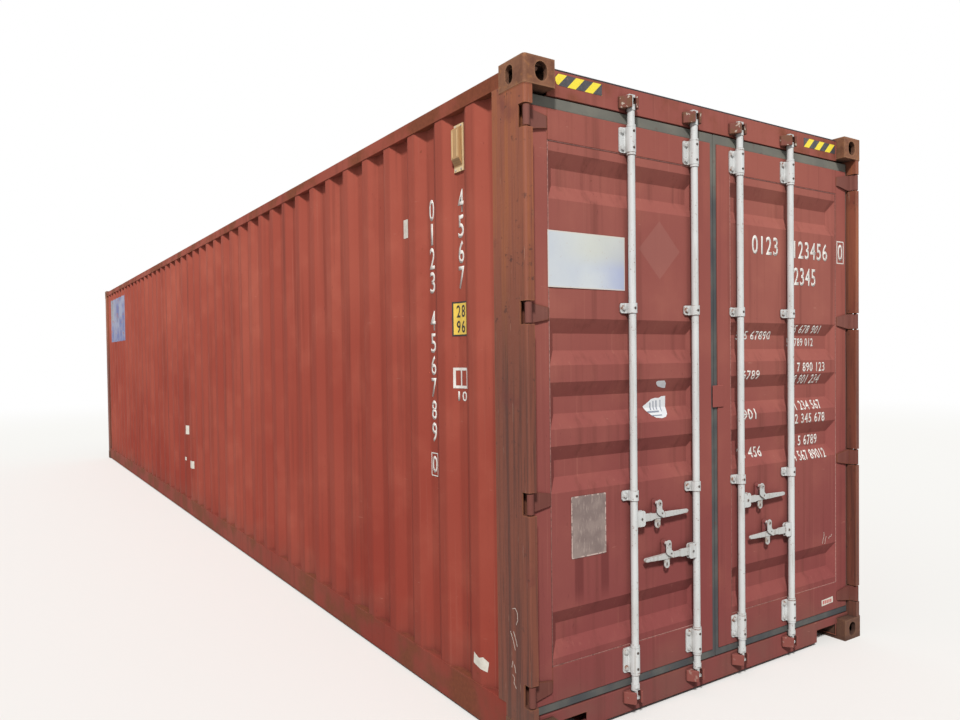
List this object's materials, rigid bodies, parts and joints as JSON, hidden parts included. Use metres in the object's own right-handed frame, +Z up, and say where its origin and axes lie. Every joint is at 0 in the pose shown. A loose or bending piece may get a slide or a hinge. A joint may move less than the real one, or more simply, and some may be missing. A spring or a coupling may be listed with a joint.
{
  "type": "shipping container",
  "caption": "Long high-cube steel shipping container with corrugated walls, corner castings, hinged double doors and turning locking bars.",
  "frame": {"origin": "centre of the footprint, on the plane the bottom castings stand on", "axes": "+X along the container towards its doors, +Y to the right as seen facing the doors, +Z up"},
  "size_m": [12.192, 2.438, 2.896],
  "materials": {
    "oxide_paint": "matt weathered paint",
    "post_paint": "matt paint with rust",
    "casting_steel": "rusted cast steel",
    "worn_steel": "worn paint",
    "plywood": "worn plywood",
    "vent_plastic": "matt",
    "gasket_rubber": "matt",
    "bar_paint": "chipped paint",
    "gear_steel": "worn zinc and paint"
  },
  "bodies": {
    "frame": {"bottom_corner_castings": "casting_steel", "top_door_end_castings": "casting_steel", "top_front_end_castings": "casting_steel", "rear_post_left": "post_paint", "rear_post_right": "post_paint", "front_corner_posts": "post_paint", "door_header": "oxide_paint", "door_sill": "oxide_paint", "top_side_rails": "oxide_paint", "bottom_side_rails": "oxide_paint", "front_top_rail": "oxide_paint", "front_bottom_rail": "oxide_paint", "side_wall_left": "oxide_paint", "side_wall_right": "oxide_paint", "front_wall": "oxide_paint", "roof_panel": "oxide_paint", "plywood_floor": "plywood", "cross_members": "oxide_paint", "gooseneck_tunnel": "oxide_paint", "cam_keepers": "worn_steel", "ventilators": "vent_plastic"},
    "left_door": {"left_leaf_frame": "oxide_paint", "left_leaf_panel": "oxide_paint", "left_leaf_gasket": "gasket_rubber", "left_leaf_hinges": "oxide_paint", "left_bar_brackets": "bar_paint", "left_handle_retainers": "gear_steel"},
    "right_door": {"right_leaf_frame": "oxide_paint", "right_leaf_panel": "oxide_paint", "right_leaf_gasket": "gasket_rubber", "right_leaf_hinges": "oxide_paint", "right_bar_brackets": "bar_paint", "right_handle_retainers": "gear_steel"},
    "bar_1": {"locking_bar_1": "bar_paint"},
    "handle_1": {"door_handle_1": "gear_steel"},
    "catch_1": {"handle_catch_1": "gear_steel"},
    "bar_2": {"locking_bar_2": "bar_paint"},
    "handle_2": {"door_handle_2": "gear_steel"},
    "catch_2": {"handle_catch_2": "gear_steel"},
    "bar_3": {"locking_bar_3": "bar_paint"},
    "handle_3": {"door_handle_3": "gear_steel"},
    "catch_3": {"handle_catch_3": "gear_steel"},
    "bar_4": {"locking_bar_4": "bar_paint"},
    "handle_4": {"door_handle_4": "gear_steel"},
    "catch_4": {"handle_catch_4": "gear_steel"}
  },
  "joints": [
    {"name": "left_door_swing", "type": "hinge", "parent": "frame", "child": "left_door", "pos_m": [6.078, -1.195, 1.45], "axis": [0, 0, -1], "range_deg": [0, 265]},
    {"name": "right_door_swing", "type": "hinge", "parent": "frame", "child": "right_door", "pos_m": [6.078, 1.195, 1.45], "axis": [0, 0, 1], "range_deg": [0, 265]},
    {"name": "bar_1_turn", "type": "hinge", "parent": "left_door", "child": "bar_1", "pos_m": [6.066, -0.592, 1.45], "axis": [0, 0, 1], "range_deg": [-90, 0]},
    {"name": "handle_1_lift", "type": "hinge", "parent": "bar_1", "child": "handle_1", "pos_m": [6.067, -0.554, 0.912], "axis": [-1, 0, 0], "range_deg": [-6, 0]},
    {"name": "catch_1_swing", "type": "hinge", "parent": "left_door", "child": "catch_1", "pos_m": [6.079, -0.44, 0.972], "axis": [-1, 0, 0], "range_deg": [-95, 0]},
    {"name": "bar_2_turn", "type": "hinge", "parent": "left_door", "child": "bar_2", "pos_m": [6.066, -0.171, 1.45], "axis": [0, 0, -1], "range_deg": [-90, 0]},
    {"name": "handle_2_lift", "type": "hinge", "parent": "bar_2", "child": "handle_2", "pos_m": [6.067, -0.209, 0.713], "axis": [1, 0, 0], "range_deg": [-6, 0]},
    {"name": "catch_2_swing", "type": "hinge", "parent": "left_door", "child": "catch_2", "pos_m": [6.079, -0.379, 0.773], "axis": [-1, 0, 0], "range_deg": [-95, 0]},
    {"name": "bar_3_turn", "type": "hinge", "parent": "right_door", "child": "bar_3", "pos_m": [6.066, 0.171, 1.45], "axis": [0, 0, 1], "range_deg": [-90, 0]},
    {"name": "handle_3_lift", "type": "hinge", "parent": "bar_3", "child": "handle_3", "pos_m": [6.067, 0.209, 0.912], "axis": [-1, 0, 0], "range_deg": [-6, 0]},
    {"name": "catch_3_swing", "type": "hinge", "parent": "right_door", "child": "catch_3", "pos_m": [6.079, 0.323, 0.972], "axis": [-1, 0, 0], "range_deg": [-95, 0]},
    {"name": "bar_4_turn", "type": "hinge", "parent": "right_door", "child": "bar_4", "pos_m": [6.066, 0.592, 1.45], "axis": [0, 0, -1], "range_deg": [-90, 0]},
    {"name": "handle_4_lift", "type": "hinge", "parent": "bar_4", "child": "handle_4", "pos_m": [6.067, 0.554, 0.713], "axis": [1, 0, 0], "range_deg": [-6, 0]},
    {"name": "catch_4_swing", "type": "hinge", "parent": "right_door", "child": "catch_4", "pos_m": [6.079, 0.384, 0.773], "axis": [-1, 0, 0], "range_deg": [-95, 0]}
  ]
}
